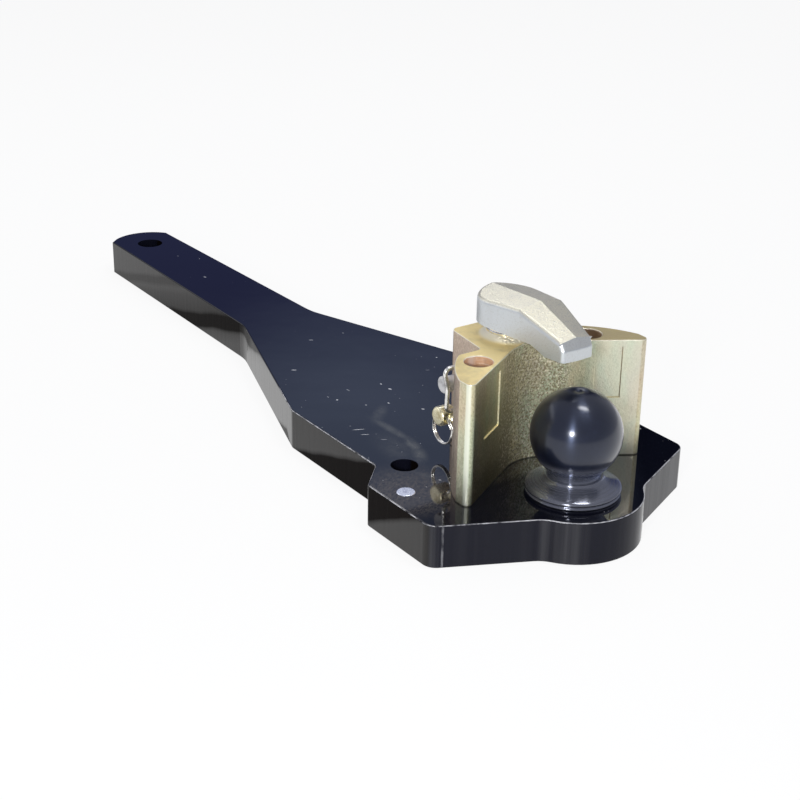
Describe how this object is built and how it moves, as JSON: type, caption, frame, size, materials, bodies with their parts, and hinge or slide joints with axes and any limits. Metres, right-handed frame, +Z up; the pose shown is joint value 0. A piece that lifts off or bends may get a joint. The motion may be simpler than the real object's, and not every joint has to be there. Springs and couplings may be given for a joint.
{
  "type": "tow ball drawbar plate",
  "caption": "Thick flame-cut drawbar plate with a long pivot arm, a large tow ball and a swing-aside hold-down lever on a cast housing.",
  "frame": {"origin": "axis of the drawbar's pivot bore, on the plate's underside", "axes": "+X along the drawbar from the pivot bore to the ball, +Z up through the plate, +Y to the left"},
  "size_m": [0.914, 0.2876, 0.1963],
  "materials": {
    "plate_paint": "deep gloss black paint",
    "ball_steel": "blackened and burnished",
    "yellow_zinc_casting": "yellow chromate zinc",
    "black_oxide_screw": "oiled",
    "ground_steel": "ground",
    "bright_steel": "bright",
    "silver_zinc_casting": "clear zinc",
    "bronze": "plain bearing bronze",
    "seal_rubber": "moulded",
    "grey_steel": "matt zinc",
    "yellow_zinc_pin": "yellow zinc",
    "bright_wire": "bright zinc"
  },
  "bodies": {
    "drawbar": {"drawbar_plate": "plate_paint", "tow_ball": "ball_steel", "ball_weld": "plate_paint", "hold_down_housing": "yellow_zinc_casting", "housing_screws": "black_oxide_screw", "screw_washers": "black_oxide_screw", "dowel_pins": "ground_steel", "ear_plugs": "bright_steel", "upper_bush": "bronze", "lower_bush": "bronze", "spindle_seal": "seal_rubber", "thrust_washer": "bright_steel", "keeper_wire": "bright_wire", "grease_nipple": "yellow_zinc_pin"},
    "hold_down": {"hold_down_lever": "silver_zinc_casting", "hold_down_spindle": "bright_steel", "lever_roll_pin": "ground_steel"},
    "locking_pin": {"locking_pin": "grey_steel"},
    "linch_pin": {"linch_pin": "yellow_zinc_pin"},
    "linch_ring": {"linch_ring": "bright_wire"}
  },
  "joints": [
    {"name": "hold_down_swing", "type": "hinge", "parent": "drawbar", "child": "hold_down", "pos_m": [0.708, 0, 0.1], "axis": [0, 0, 1], "range_deg": [-100, 100]},
    {"name": "locking_pin_pull", "type": "slide", "parent": "drawbar", "child": "locking_pin", "axis": [0, -1, 0], "range_m": [0, 0.05]},
    {"name": "linch_pin_pull", "type": "slide", "parent": "drawbar", "child": "linch_pin", "axis": [0, -1, 0], "range_m": [0, 0.05]},
    {"name": "linch_ring_swing", "type": "hinge", "parent": "linch_pin", "child": "linch_ring", "pos_m": [0.687, -0.0535, 0.079], "axis": [-1, 0, 0], "range_deg": [-20, 90]}
  ]
}
